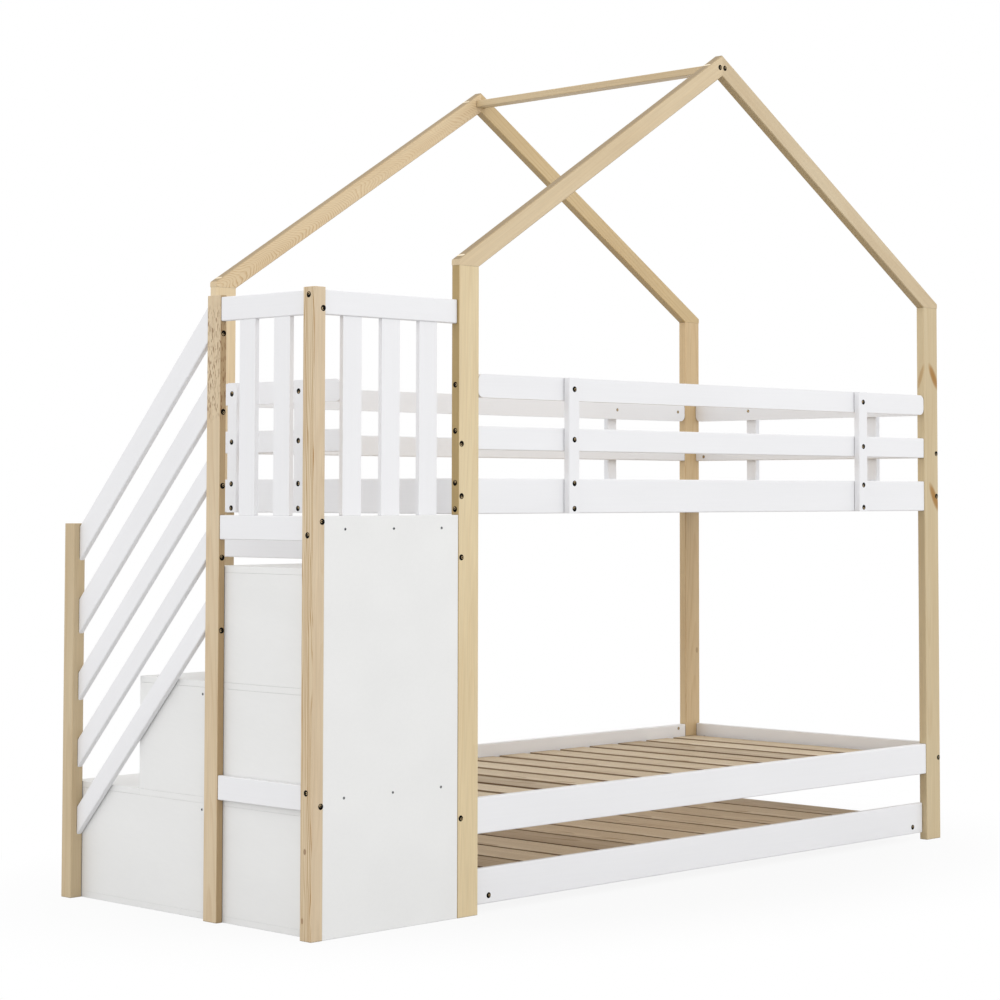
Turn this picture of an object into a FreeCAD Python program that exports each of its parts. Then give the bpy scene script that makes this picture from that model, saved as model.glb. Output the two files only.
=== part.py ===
"""House bunk bed: two bunks under an open pine roof frame, with a boxed stair at the left end
and a low bed on wheels that rolls out from under the lower bunk.

Millimetres. X runs along the bed, Y from front to back and Z up. Places are measured from the
outer front foot of the left front post. ORIGIN then moves the whole bed so that its origin lies
on the floor under the middle of its box.
"""

import FreeCAD, Part
import os
import re

import Sketcher

# Driving sizes: lengths in millimetres, the roof pitch in degrees, and shares without a unit.
SIZES = {
    # House frame
    "bed_length": 2050,
    "bed_width": 1000,
    "post_width": 70,
    "post_depth": 28,
    "post_rise": 271,
    "rafter_width": 50,
    "roof_pitch": 32.2,
    "ridge_width": 40,
    "ridge_height": 20,
    "ridge_drop": 25.5,
    "edge_ease": 2,
    # Rails of both bunks
    "upper_rail_bottom": 1000,
    "lower_rail_bottom": 200,
    "main_rail_height": 90,
    "rail_thickness": 22,
    "end_rail_thickness": 15,
    "end_rail_setback": 2,
    # Guard of the upper bunk
    "guard_rail_height": 60,
    "guard_gap": 72,
    "guard_corner_radius": 18,
    "upright_width": 40,
    "upright_thickness": 20,
    "long_upright_inset": 332,
    "end_upright_inset": 227,
    "entry_offset": 22,
    "near_upright_share": 0.28,
    "far_upright_share": 0.82,
    # Slats
    "slat_thickness": 15,
    "slat_gap": 30,
    "slat_recess": 39,
    "slat_end_play": 2,
    "ledger_size": 20,
    # Pull-out bed
    "trundle_gap": 4,
    "trundle_setback": 16,
    "trundle_lift": 21.5,
    "trundle_panel_height": 90,
    "trundle_panel_thickness": 16,
    "trundle_depth": 926,
    "trundle_frame_inset": 41,
    "trundle_rail_height": 40,
    "trundle_rail_thickness": 16,
    "trundle_slat_gap": 15,
    "trundle_slat_margin": 4,
    # Wheels of the pull-out bed
    "wheel_radius": 22,
    "wheel_width": 18,
    "wheel_play": 0.1,
    "wheel_side_play": 1,
    "axle_radius": 4,
    "axle_play": 0.1,
    "housing_wall": 3,
    "housing_length": 44,
    "housing_headroom": 3,
    "housing_cheek_drop": 10,
    "caster_inset": 90,
    # Stair and platform
    "stair_width": 440,
    "tread_depth": 285,
    "first_step_height": 300,
    "platform_drop": 128,
    "stair_board": 16,
    "stair_post_width": 36,
    "stair_post_depth": 42,
    "stair_post_cap": 5,
    "middle_post_width": 53,
    "middle_post_thickness": 20,
    "middle_post_setback": 3,
    "bearer_gap": 6,
    "front_panel_setback": 2,
    "front_panel_thickness": 6,
    # Guard of the platform and banister of the stair
    "side_board_thickness": 16,
    "platform_guard_clearance": 66,
    "platform_guard_span": 540,
    "platform_slat_width": 60,
    "platform_slat_thickness": 12,
    "newel_height": 973,
    "newel_cap": 6,
    "banister_drop": 20,
    "banister_floor_gap": 163,
    "handrail_width": 63,
    "banister_width": 51,
    # Bolts of the ridge
    "bolt_radius": 3,
    "bolt_reach": 40,
    "bolt_head_radius": 7,
    "bolt_head_height": 4,
    "bolt_play": 0.2,
    "bolt_tip_play": 2,
    "ridge_bolt_share": 0.26,
    "cut_overrun": 1,
}

SLAT_COUNT = 15
TRUNDLE_SLAT_COUNT = 12
PLATFORM_SIDE_SLAT_COUNT = 2
PLATFORM_FRONT_SLAT_COUNT = 3

# Faces across the bed
INNER_RIGHT = "(bed_length - post_width)"
INNER_BACK = "(bed_width - post_depth)"
RAIL_FACE = "((post_depth - rail_thickness) / 2)"
BETWEEN_POSTS = ("post_width", INNER_RIGHT)
BETWEEN_END_POSTS = ("post_depth", INNER_BACK)
FRONT_RAIL = (RAIL_FACE, f"({RAIL_FACE} + rail_thickness)")
BACK_RAIL = (f"(bed_width - {FRONT_RAIL[1]})", f"(bed_width - {RAIL_FACE})")
LEFT_END = ("end_rail_setback", "(end_rail_setback + end_rail_thickness)")
RIGHT_END = (f"(bed_length - {LEFT_END[1]})", "(bed_length - end_rail_setback)")

# Heights of the bunks, the posts and the roof
UPPER_RAIL = ("upper_rail_bottom", "(upper_rail_bottom + main_rail_height)")
LOWER_RAIL = ("lower_rail_bottom", "(lower_rail_bottom + main_rail_height)")
MIDDLE_BOTTOM = f"({UPPER_RAIL[1]} + guard_gap)"
MIDDLE_GUARD = (MIDDLE_BOTTOM, f"({MIDDLE_BOTTOM} + guard_rail_height)")
TOP_BOTTOM = f"({MIDDLE_GUARD[1]} + guard_gap)"
TOP_GUARD = (TOP_BOTTOM, f"({TOP_BOTTOM} + guard_rail_height)")
POST_TOP = f"({TOP_GUARD[1]} + post_rise)"
RIDGE_X = "(bed_length / 2)"
INNER_APEX = f"({POST_TOP} + ({RIDGE_X} - post_width) * tan(roof_pitch))"
APEX = f"({INNER_APEX} + rafter_width / cos(roof_pitch))"
EAVE_TOP = f"({APEX} - {RIDGE_X} * tan(roof_pitch))"
RIDGE_TOP = f"({APEX} - ridge_drop)"
RIDGE_Z = f"({RIDGE_TOP} - ridge_height / 2)"

# Stair: its risers from the back of the bed forwards, and its step heights
STAIR_LEFT = "(0 - stair_width)"
STAIR_RISERS = ("bed_width", "(bed_width - tread_depth)", "(bed_width - 2 * tread_depth)")
PLATFORM_TOP = "(upper_rail_bottom - platform_drop)"
STEP_TOPS = (
    "first_step_height",
    f"((first_step_height + {PLATFORM_TOP}) / 2)",
    PLATFORM_TOP,
)
GUARD_BOTTOM = f"({PLATFORM_TOP} + platform_guard_clearance)"
GUARD_UPPER = f"({GUARD_BOTTOM} + platform_guard_span)"
PLATFORM_RAILS = (
    ("first_step_height", "(first_step_height + guard_rail_height)"),
    (GUARD_BOTTOM, f"({GUARD_BOTTOM} + guard_rail_height)"),
    (GUARD_UPPER, f"({GUARD_UPPER} + guard_rail_height)"),
)
PLATFORM_SLAT = (PLATFORM_RAILS[1][1], GUARD_UPPER)
STAIR_POST_TOP = f"({PLATFORM_RAILS[2][1]} + stair_post_cap)"
CORNER_X = (f"({STAIR_LEFT} - stair_post_width)", STAIR_LEFT)
MIDDLE_X = (f"({STAIR_LEFT} - middle_post_thickness)", STAIR_LEFT)
SIDE_LINE = f"({STAIR_LEFT} - middle_post_thickness / 2)"
SIDE_BOARD = (
    f"({SIDE_LINE} - side_board_thickness / 2)",
    f"({SIDE_LINE} + side_board_thickness / 2)",
)
SIDE_SLAT = (
    f"({SIDE_LINE} - platform_slat_thickness / 2)",
    f"({SIDE_LINE} + platform_slat_thickness / 2)",
)
MIDDLE_BACK = f"({STAIR_RISERS[2]} - middle_post_setback)"
MIDDLE_Y = (f"({MIDDLE_BACK} - middle_post_width)", MIDDLE_BACK)
NEWEL_FRONT = "(bed_width - stair_post_depth)"
PANEL_Y = ("front_panel_setback", "(front_panel_setback + front_panel_thickness)")
FRONT_RAIL_LINE = f"(({PANEL_Y[1]} + post_depth) / 2)"
FRONT_SLAT = (
    f"({FRONT_RAIL_LINE} - platform_slat_thickness / 2)",
    f"({FRONT_RAIL_LINE} + platform_slat_thickness / 2)",
)

# Banister: its boards rise from the newel to the middle post with equal gaps between them
BANISTER_TOP = "(newel_height - newel_cap)"
BANISTER_RUN = f"({NEWEL_FRONT} - {MIDDLE_BACK})"
BANISTER_SLOPE = f"(({PLATFORM_RAILS[2][1]} - banister_drop - {BANISTER_TOP}) / {BANISTER_RUN})"
BANISTER_WIDTHS = ("handrail_width",) * 2 + ("banister_width",) * 3
PLUMB = f"sqrt(1 + {BANISTER_SLOPE} * {BANISTER_SLOPE})"
BANISTER_GAP = (
    f"(({BANISTER_TOP} - banister_floor_gap - ({' + '.join(BANISTER_WIDTHS)}) * {PLUMB})"
    f" / {len(BANISTER_WIDTHS) - 1})"
)

# Pull-out bed: its front panel stands between the front posts and its frame runs back from it
TRUNDLE_X = ("(post_width + trundle_gap)", f"({INNER_RIGHT} - trundle_gap)")
TRUNDLE_PANEL_Y = ("trundle_setback", "(trundle_setback + trundle_panel_thickness)")
TRUNDLE_FRONT = TRUNDLE_PANEL_Y[1]
TRUNDLE_BACK = f"({TRUNDLE_FRONT} + trundle_depth)"
TRUNDLE_Z = ("trundle_lift", "(trundle_lift + trundle_rail_height)")
TRUNDLE_LEFT_RAIL = (
    f"({TRUNDLE_X[0]} + trundle_frame_inset)",
    f"({TRUNDLE_X[0]} + trundle_frame_inset + trundle_rail_thickness)",
)
TRUNDLE_RIGHT_RAIL = (
    f"(bed_length - {TRUNDLE_LEFT_RAIL[1]})",
    f"(bed_length - {TRUNDLE_LEFT_RAIL[0]})",
)
TRUNDLE_BAY = (TRUNDLE_LEFT_RAIL[1], TRUNDLE_RIGHT_RAIL[0])
HOUSING_WIDTH = "(wheel_width + 2 * (wheel_side_play + housing_wall))"

# The middle of the whole bed's box, from the outer front foot of the left front post
ORIGIN = {
    "x": f"((bed_length - end_rail_setback + upright_thickness + {CORNER_X[0]}) / 2)",
    "y": "(bed_width / 2)",
    "z": "0",
}

AXES = {"x": FreeCAD.Vector(1, 0, 0), "y": FreeCAD.Vector(0, 1, 0), "z": FreeCAD.Vector(0, 0, 1)}
LAY_ALONG = {
    "x": FreeCAD.Rotation(AXES["y"], 90),
    "y": FreeCAD.Rotation(AXES["x"], -90),
}

doc = FreeCAD.newDocument("house_bunk_bed")
sheet = doc.addObject("Spreadsheet::Sheet", "sizes")
pieces = []


def fill_sheet():
    """Writes every driving size beside its name and gives its cell that name."""
    for row, (name, number) in enumerate(SIZES.items(), start=1):
        sheet.set(f"A{row}", name)
        sheet.set(f"B{row}", str(number))
        sheet.setAlias(f"B{row}", name)
    doc.recompute()


def bound(text):
    """The expression with each size read from its cell in the sheet."""
    return re.sub(r"[a-z_]+", lambda word: f"sizes.{word[0]}" if word[0] in SIZES else word[0], text)


def number(text):
    """The value that the expression has now."""
    return float(doc.sizes.evalExpression(bound(text)))


def place(part, corner):
    """Sets a part's corner, measured from the front foot of the left front post."""
    for axis, text in zip("xyz", corner):
        part.setExpression(f"Placement.Base.{axis}", bound(f"{text} - ({ORIGIN[axis]})"))


def keep(part):
    """Counts a finished part among the bed's pieces."""
    pieces.append(part)
    return part


def block(name, x, y, z):
    """A plain board between its left and right, front and back, and bottom and top faces."""
    board = doc.addObject("Part::Box", name)
    for side, (low, high) in zip(("Length", "Width", "Height"), (x, y, z)):
        board.setExpression(side, bound(f"{high} - ({low})"))
    place(board, (x[0], y[0], z[0]))
    doc.recompute()
    return board


def edges_along(shape, axis):
    """Numbers of the shape's straight edges that run along an axis."""
    found = []
    for index, edge in enumerate(shape.Edges, start=1):
        straight = edge.Curve.TypeId == "Part::GeomLine"
        if straight and edge.Curve.Direction.isParallel(AXES[axis], Part.Precision.angular()):
            found.append(index)
    return found


def eased(name, axis, x, y, z):
    """A board whose four edges along an axis are planed off."""
    board = block(f"{name}_blank", x, y, z)
    planed = doc.addObject("Part::Chamfer", name)
    planed.Base = board
    ease = number("edge_ease")
    planed.Edges = [(index, ease, ease) for index in edges_along(board.Shape, axis)]
    doc.recompute()
    return planed


def rounded(name, axis, x, y, z):
    """A board whose four corners, seen along an axis, are rounded."""
    board = block(f"{name}_blank", x, y, z)
    round_board = doc.addObject("Part::Fillet", name)
    round_board.Base = board
    radius = number("guard_corner_radius")
    round_board.Edges = [(index, radius, radius) for index in edges_along(board.Shape, axis)]
    doc.recompute()
    return round_board


def group(name, members):
    """Separate solids that share one node."""
    together = doc.addObject("Part::Compound", name)
    together.Links = members
    return keep(together)


def origin_plane(body, role):
    """One of a body's own origin planes."""
    return next(plane for plane in body.Origin.OriginFeatures if plane.Role == role)


def outline(body, role, points):
    """A closed outline through points, each bound to its two places on the plane."""
    sketch = body.newObject("Sketcher::SketchObject", f"{body.Name}_outline")
    sketch.AttachmentSupport = (origin_plane(body, role), [""])
    sketch.MapMode = "FlatFace"
    corners = [FreeCAD.Vector(number(across), number(up), 0) for across, up in points]
    for start, end in zip(corners, corners[1:] + corners[:1]):
        sketch.addGeometry(Part.LineSegment(start, end), False)
    for index in range(len(corners)):
        following = (index + 1) % len(corners)
        sketch.addConstraint(Sketcher.Constraint("Coincident", index, 2, following, 1))
    for index, point in enumerate(points):
        for kind, text in zip(("DistanceX", "DistanceY"), point):
            held = sketch.addConstraint(Sketcher.Constraint(kind, -1, 1, index, 1, number(text)))
            sketch.setExpression(f"Constraints[{held}]", bound(text))
    return sketch


def profile(name, role, points, depth, corner):
    """A body padded from an outline, towards the back or the right of the bed."""
    body = doc.addObject("PartDesign::Body", name)
    pad = body.newObject("PartDesign::Pad", f"{name}_pad")
    pad.Profile = outline(body, role, points)
    pad.setExpression("Length", bound(depth))
    pad.Reversed = role == "XZ_Plane"
    place(body, corner)
    doc.recompute()
    return body


def ease_slopes(body):
    """Planes off the edges of a profile's body that run along its slope."""
    pad = body.Tip
    level = [set(edges_along(pad.Shape, axis)) for axis in "xyz"]
    slopes = set(range(1, len(pad.Shape.Edges) + 1)).difference(*level)
    planed = body.newObject("PartDesign::Chamfer", f"{body.Name}_ease")
    planed.Base = (pad, [f"Edge{index}" for index in sorted(slopes)])
    planed.setExpression("Size", bound("edge_ease"))
    body.Tip = planed
    doc.recompute()


def rod(name, axis, span, across, radius):
    """A round bar along an axis, from one place to another, at its two places across."""
    bar = doc.addObject("Part::Cylinder", name)
    bar.setExpression("Radius", bound(radius))
    bar.setExpression("Height", bound(f"{span[1]} - ({span[0]})"))
    bar.Placement = FreeCAD.Placement(FreeCAD.Vector(), LAY_ALONG[axis])
    start = dict(zip("xyz".replace(axis, ""), across))
    start[axis] = span[0]
    place(bar, (start["x"], start["y"], start["z"]))
    return bar


def stepped(name, head, shank, across, play="0"):
    """A head and its shank as one solid, or with play the hole that they fit."""
    wide = rod(f"{name}_head", "y", head, across, f"bolt_head_radius + {play}")
    narrow = rod(f"{name}_shank", "y", shank, across, f"bolt_radius + {play}")
    bolt = doc.addObject("Part::Fuse", name)
    bolt.Base = wide
    bolt.Tool = narrow
    return bolt


def bolt_and_drill(name, face, inwards, across):
    """A bolt sunk flush in a rafter's face and the drill for its hole.

    It passes through the rafter and enters the end of the ridge beam. face is where its head
    lies flush and inwards is + or -.
    """
    def span(near, far):
        ends = tuple(f"({face} {inwards} ({distance}))" for distance in (near, far))
        return ends if inwards == "+" else ends[::-1]

    tip = "post_depth + bolt_reach"
    outside = "0 - cut_overrun"
    bolt = stepped(name, span("0", "bolt_head_height"), span("0", tip), across)
    drill = stepped(
        f"{name}_drill",
        span(outside, "bolt_head_height"),
        span(outside, f"{tip} + bolt_tip_play"),
        across,
        play="bolt_play",
    )
    return bolt, drill


def drilled(name, blank, drills):
    """A piece with the bolt holes cut through it."""
    holes = doc.addObject("Part::Compound", f"{name}_holes")
    holes.Links = drills
    piece = doc.addObject("Part::Cut", name)
    piece.Base = blank
    piece.Tool = holes
    return keep(piece)


def posts():
    """Four flat corner posts."""
    lines = {"front": ("0", "post_depth"), "back": (INNER_BACK, "bed_width")}
    ends = {"left": ("0", "post_width"), "right": (INNER_RIGHT, "bed_length")}
    for side, y in lines.items():
        for end, x in ends.items():
            keep(eased(f"{side}_{end}_post", "z", x, y, ("0", POST_TOP)))


def roof():
    """Two gables of mitred rafters whose feet lie flat on the posts, and the ridge beam between."""
    half = (
        ("0", POST_TOP),
        ("post_width", POST_TOP),
        (RIDGE_X, INNER_APEX),
        (RIDGE_X, APEX),
        ("0", EAVE_TOP),
    )
    other_half = tuple((f"(bed_length - {x})", z) for x, z in half)
    gables = {"front": ("0", "0", "+"), "back": (INNER_BACK, "bed_width", "-")}
    bolts = []
    drills = []
    for side, (y, face, inwards) in gables.items():
        for end, points, sign in (("left", half, "-"), ("right", other_half, "+")):
            name = f"{side}_{end}_rafter"
            body = profile(f"{name}_plank", "XZ_Plane", points, "post_depth", ("0", y, "0"))
            ease_slopes(body)
            across = (f"({RIDGE_X} {sign} ridge_width * ridge_bolt_share)", RIDGE_Z)
            bolt, drill = bolt_and_drill(f"{name}_bolt", face, inwards, across)
            bolts.append(bolt)
            drills.append(drill)
            drilled(name, body, [drill])
    x = (f"({RIDGE_X} - ridge_width / 2)", f"({RIDGE_X} + ridge_width / 2)")
    z = (f"({RIDGE_TOP} - ridge_height)", RIDGE_TOP)
    beam = eased("ridge_beam_plank", "y", x, BETWEEN_END_POSTS, z)
    drilled("ridge_beam", beam, drills)
    group("frame_bolts", bolts)


def main_rails():
    """The long and end rails of both bunks, and the bearer under the entry to the upper bunk."""
    for level, z in (("upper", UPPER_RAIL), ("lower", LOWER_RAIL)):
        for side, y in (("front", FRONT_RAIL), ("back", BACK_RAIL)):
            keep(eased(f"{level}_{side}_rail", "x", BETWEEN_POSTS, y, z))
        for end, x in (("left", LEFT_END), ("right", RIGHT_END)):
            keep(eased(f"{level}_{end}_end_rail", "y", x, BETWEEN_END_POSTS, z))
    bottom = f"({PLATFORM_TOP} + bearer_gap)"
    z = (bottom, f"({bottom} + guard_rail_height)")
    keep(eased("platform_bearer_rail", "y", LEFT_END, BETWEEN_END_POSTS, z))


def upper_guard():
    """Two guard rails on each side of the upper bunk, with uprights bolted outside them."""
    entry = f"({STAIR_RISERS[2]} + entry_offset)"
    short = (entry, INNER_BACK)
    half = "upright_width / 2"
    for side, y in (("front", FRONT_RAIL), ("back", BACK_RAIL)):
        keep(eased(f"{side}_guard_middle_rail", "x", BETWEEN_POSTS, y, MIDDLE_GUARD))
        keep(rounded(f"{side}_guard_top_rail", "y", BETWEEN_POSTS, y, TOP_GUARD))
    for end, x, y in (("left", LEFT_END, short), ("right", RIGHT_END, BETWEEN_END_POSTS)):
        keep(eased(f"{end}_guard_middle_rail", "y", x, y, MIDDLE_GUARD))
        keep(rounded(f"{end}_guard_top_rail", "x", x, y, TOP_GUARD))
    z = (UPPER_RAIL[0], TOP_GUARD[1])
    outside = {
        "front": (f"({FRONT_RAIL[0]} - upright_thickness)", FRONT_RAIL[0]),
        "back": (BACK_RAIL[1], f"({BACK_RAIL[1]} + upright_thickness)"),
        "left": (f"({LEFT_END[0]} - upright_thickness)", LEFT_END[0]),
        "right": (RIGHT_END[1], f"({RIGHT_END[1]} + upright_thickness)"),
    }
    long_lines = ("(post_width + long_upright_inset)", f"({INNER_RIGHT} - long_upright_inset)")
    end_lines = ("(post_depth + end_upright_inset)", f"({INNER_BACK} - end_upright_inset)")
    entry_lines = tuple(
        f"({entry} + ({INNER_BACK} - {entry}) * {share})"
        for share in ("near_upright_share", "far_upright_share")
    )
    rows = {"front": long_lines, "back": long_lines, "left": entry_lines, "right": end_lines}
    for side, lines in rows.items():
        uprights = []
        for index, line in enumerate(lines, start=1):
            name = f"{side}_guard_upright_{index}"
            along = (f"({line} - {half})", f"({line} + {half})")
            x, y = (along, outside[side]) if lines is long_lines else (outside[side], along)
            uprights.append(eased(name, "z", x, y, z))
        group(f"{side}_guard_uprights", uprights)


def slats(name, count, x, y, z, gap):
    """Boards across the bed, each in the middle of its own equal bay."""
    bay = f"(({x[1]} - {x[0]}) / {count})"
    boards = []
    for index in range(count):
        left = f"({x[0]} + {index} * {bay} + {gap} / 2)"
        boards.append(block(f"{name}_{index + 1}", (left, f"({left} + {bay} - {gap})"), y, z))
    group(name, boards)


def mattress_supports():
    """Ledgers along the long rails of each bunk and the slats that lie on them."""
    x = (LEFT_END[1], RIGHT_END[0])
    y = ("(post_depth + slat_end_play)", f"({INNER_BACK} - slat_end_play)")
    for level, rail in (("upper", UPPER_RAIL), ("lower", LOWER_RAIL)):
        top = f"({rail[1]} - slat_recess)"
        seat = f"({top} - slat_thickness)"
        z = (f"({seat} - ledger_size)", seat)
        front = (FRONT_RAIL[1], f"({FRONT_RAIL[1]} + ledger_size)")
        back = (f"({BACK_RAIL[0]} - ledger_size)", BACK_RAIL[0])
        ledgers = [
            block(f"{level}_front_ledger", BETWEEN_POSTS, front, z),
            block(f"{level}_back_ledger", BETWEEN_POSTS, back, z),
        ]
        group(f"{level}_slat_ledgers", ledgers)
        slats(f"{level}_slats", SLAT_COUNT, x, y, (seat, top), "slat_gap")


def pull_out_bed():
    """The front panel, frame and slats of the bed that rolls out."""
    panel_z = ("trundle_lift", "(trundle_lift + trundle_panel_height)")
    keep(eased("trundle_front_panel", "x", TRUNDLE_X, TRUNDLE_PANEL_Y, panel_z))
    ends = [
        block("trundle_left_rail", TRUNDLE_LEFT_RAIL, (TRUNDLE_FRONT, TRUNDLE_BACK), TRUNDLE_Z),
        block("trundle_right_rail", TRUNDLE_RIGHT_RAIL, (TRUNDLE_FRONT, TRUNDLE_BACK), TRUNDLE_Z),
    ]
    group("trundle_end_rails", ends)
    middle = f"(({TRUNDLE_FRONT} + {TRUNDLE_BACK} - trundle_rail_thickness) / 2)"
    last = f"({TRUNDLE_BACK} - trundle_rail_thickness)"
    cross = []
    for row, start in (("front", TRUNDLE_FRONT), ("middle", middle), ("back", last)):
        y = (start, f"({start} + trundle_rail_thickness)")
        cross.append(block(f"trundle_{row}_cross_rail", TRUNDLE_BAY, y, TRUNDLE_Z))
    group("trundle_cross_rails", cross)
    y = (f"({TRUNDLE_FRONT} + trundle_slat_margin)", TRUNDLE_BACK)
    z = (TRUNDLE_Z[1], f"({TRUNDLE_Z[1]} + slat_thickness)")
    slats("trundle_slats", TRUNDLE_SLAT_COUNT, TRUNDLE_BAY, y, z, "trundle_slat_gap")


def wheel(name, corner):
    """A wheel turned from its half section: bore, flat sides and tread."""
    half_section = (
        ("0", "axle_radius + wheel_play"),
        ("wheel_width", "axle_radius + wheel_play"),
        ("wheel_width", "wheel_radius"),
        ("0", "wheel_radius"),
    )
    body = doc.addObject("PartDesign::Body", name)
    turned = body.newObject("PartDesign::Revolution", f"{name}_turned")
    section = outline(body, "XZ_Plane", half_section)
    turned.Profile = section
    turned.ReferenceAxis = (section, ["H_Axis"])
    turned.Angle = 360
    place(body, corner)
    doc.recompute()
    return keep(body)


def caster_housing(name, corner):
    """An open-ended channel over a wheel, bored for its axle."""
    top = "(housing_cheek_drop + wheel_radius + housing_headroom + housing_wall)"
    inside = f"({HOUSING_WIDTH} - housing_wall)"
    channel = (
        ("0", "0"),
        ("housing_wall", "0"),
        ("housing_wall", f"{top} - housing_wall"),
        (inside, f"{top} - housing_wall"),
        (inside, "0"),
        (HOUSING_WIDTH, "0"),
        (HOUSING_WIDTH, top),
        ("0", top),
    )
    return profile(name, "XZ_Plane", channel, "housing_length", corner)


def casters():
    """Four wheels on axles in housings, screwed to the inner sides of the frame's end rails."""
    lines = {
        "front": f"({TRUNDLE_FRONT} + caster_inset)",
        "back": f"({TRUNDLE_BACK} - caster_inset)",
    }
    ends = {
        "left": TRUNDLE_BAY[0],
        "right": f"({TRUNDLE_BAY[1]} - {HOUSING_WIDTH})",
    }
    housings = []
    axles = []
    for side, line in lines.items():
        for end, left in ends.items():
            name = f"{side}_{end}"
            start = f"({left} + housing_wall + wheel_side_play)"
            wheel(f"{name}_caster_wheel", (start, line, "wheel_radius"))
            span = (left, f"({left} + {HOUSING_WIDTH})")
            across = (line, "wheel_radius")
            axles.append(rod(f"{name}_axle", "x", span, across, "axle_radius"))
            bore_span = (f"({span[0]} - cut_overrun)", f"({span[1]} + cut_overrun)")
            bore = rod(f"{name}_axle_bore", "x", bore_span, across, "axle_radius + axle_play")
            corner = (left, f"({line} - housing_length / 2)", "(wheel_radius - housing_cheek_drop)")
            housing = doc.addObject("Part::Cut", f"{name}_caster_housing")
            housing.Base = caster_housing(f"{name}_channel", corner)
            housing.Tool = bore
            housings.append(housing)
    group("caster_housings", housings)
    group("caster_axles", axles)


def stair_boxes():
    """Three tiers of boxes, each with side panels, a riser and a board across its top."""
    x = (STAIR_LEFT, "0")
    outer_x = (STAIR_LEFT, f"({STAIR_LEFT} + stair_board)")
    inner_x = ("(0 - stair_board)", "0")
    riser_x = (outer_x[1], inner_x[0])
    front = "post_depth"
    floor = ("0", "stair_board")
    outer = []
    inner = []
    risers = []
    treads = []
    shelves = [block("stair_bottom_board", x, (front, STAIR_RISERS[0]), floor)]
    below = floor[1]
    for tier, (back, top) in enumerate(zip(STAIR_RISERS, STEP_TOPS), start=1):
        z = (below, f"({top} - stair_board)")
        board_z = (z[1], top)
        outer.append(block(f"stair_outer_panel_{tier}", outer_x, (front, back), z))
        inner.append(block(f"stair_inner_panel_{tier}", inner_x, (front, back), z))
        risers.append(block(f"stair_riser_{tier}", riser_x, (f"({back} - stair_board)", back), z))
        if tier < len(STAIR_RISERS):
            seam = STAIR_RISERS[tier]
            treads.append(block(f"stair_tread_{tier}", x, (seam, back), board_z))
            shelves.append(block(f"stair_shelf_{tier}", x, (front, seam), board_z))
        else:
            keep(block("platform_board", x, (front, back), board_z))
        below = top
    group("stair_outer_panels", outer)
    group("stair_inner_panels", inner)
    group("stair_risers", risers)
    group("stair_treads", treads)
    group("stair_shelves", shelves)


def stair_posts():
    """The corner and middle posts of the platform and the newel at the foot of the stair."""
    tall = ("0", STAIR_POST_TOP)
    keep(eased("stair_corner_post", "z", CORNER_X, ("0", "stair_post_depth"), tall))
    keep(eased("stair_middle_post", "z", MIDDLE_X, MIDDLE_Y, tall))
    keep(eased("stair_newel_post", "z", CORNER_X, (NEWEL_FRONT, "bed_width"), ("0", "newel_height")))


def upright_slats(name, count, along, across, lies_along):
    """Upright boards of the platform's guard, with equal gaps between them and the posts."""
    gap = f"(({along[1]} - {along[0]} - {count} * platform_slat_width) / {count + 1})"
    boards = []
    for index in range(count):
        start = f"({along[0]} + {index + 1} * {gap} + {index} * platform_slat_width)"
        run = (start, f"({start} + platform_slat_width)")
        x, y = (run, across) if lies_along == "x" else (across, run)
        boards.append(block(f"{name}_{index + 1}", x, y, PLATFORM_SLAT))
    group(name, boards)


def platform_guard():
    """Rails and upright slats on the outer side and the front of the platform."""
    side_y = ("stair_post_depth", MIDDLE_Y[0])
    front_x = (STAIR_LEFT, "0")
    front_y = (PANEL_Y[1], "post_depth")
    side_rails = []
    front_rails = []
    for row, z in zip(("tie", "bottom", "top"), PLATFORM_RAILS):
        side_rails.append(eased(f"platform_side_{row}_rail", "y", SIDE_BOARD, side_y, z))
        front_rails.append(eased(f"platform_front_{row}_rail", "x", front_x, front_y, z))
    group("platform_side_rails", side_rails)
    group("platform_front_rails", front_rails)
    upright_slats("platform_side_slats", PLATFORM_SIDE_SLAT_COUNT, side_y, SIDE_SLAT, "y")
    upright_slats("platform_front_slats", PLATFORM_FRONT_SLAT_COUNT, front_x, FRONT_SLAT, "x")
    keep(block("stair_front_panel", front_x, PANEL_Y, ("0", PLATFORM_RAILS[1][1])))


def banister():
    """Five raked boards with plumb-cut ends, from the newel up to the middle post."""
    boards = []
    top = BANISTER_TOP
    rise = f"{BANISTER_SLOPE} * {BANISTER_RUN}"
    for index, width in enumerate(BANISTER_WIDTHS, start=1):
        bottom = f"({top} - {width} * {PLUMB})"
        ends = (
            (NEWEL_FRONT, bottom),
            (NEWEL_FRONT, top),
            (MIDDLE_BACK, f"({top} + {rise})"),
            (MIDDLE_BACK, f"({bottom} + {rise})"),
        )
        corner = (SIDE_BOARD[0], "0", "0")
        board = profile(f"banister_board_{index}", "YZ_Plane", ends, "side_board_thickness", corner)
        ease_slopes(board)
        boards.append(board)
        top = f"({bottom} - {BANISTER_GAP})"
    group("stair_banister_boards", boards)


def write_pieces():
    """Stops if anything failed to build, then writes each piece to its own file."""
    doc.recompute()
    failed = [part.Label for part in doc.Objects if {"Invalid", "Error"} & set(part.State)]
    failed += [part.Label for part in pieces if part.Shape.isNull() or not part.Shape.isValid()]
    if failed:
        raise RuntimeError("these did not build: " + ", ".join(failed))
    os.makedirs("parts", exist_ok=True)
    for part in pieces:
        part.Shape.exportStep(f"parts/{part.Label}.step")
    print(len(pieces), "pieces written")


fill_sheet()
posts()
roof()
main_rails()
upper_guard()
mattress_supports()
pull_out_bed()
casters()
stair_boxes()
stair_posts()
platform_guard()
banister()
write_pieces()
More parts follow.
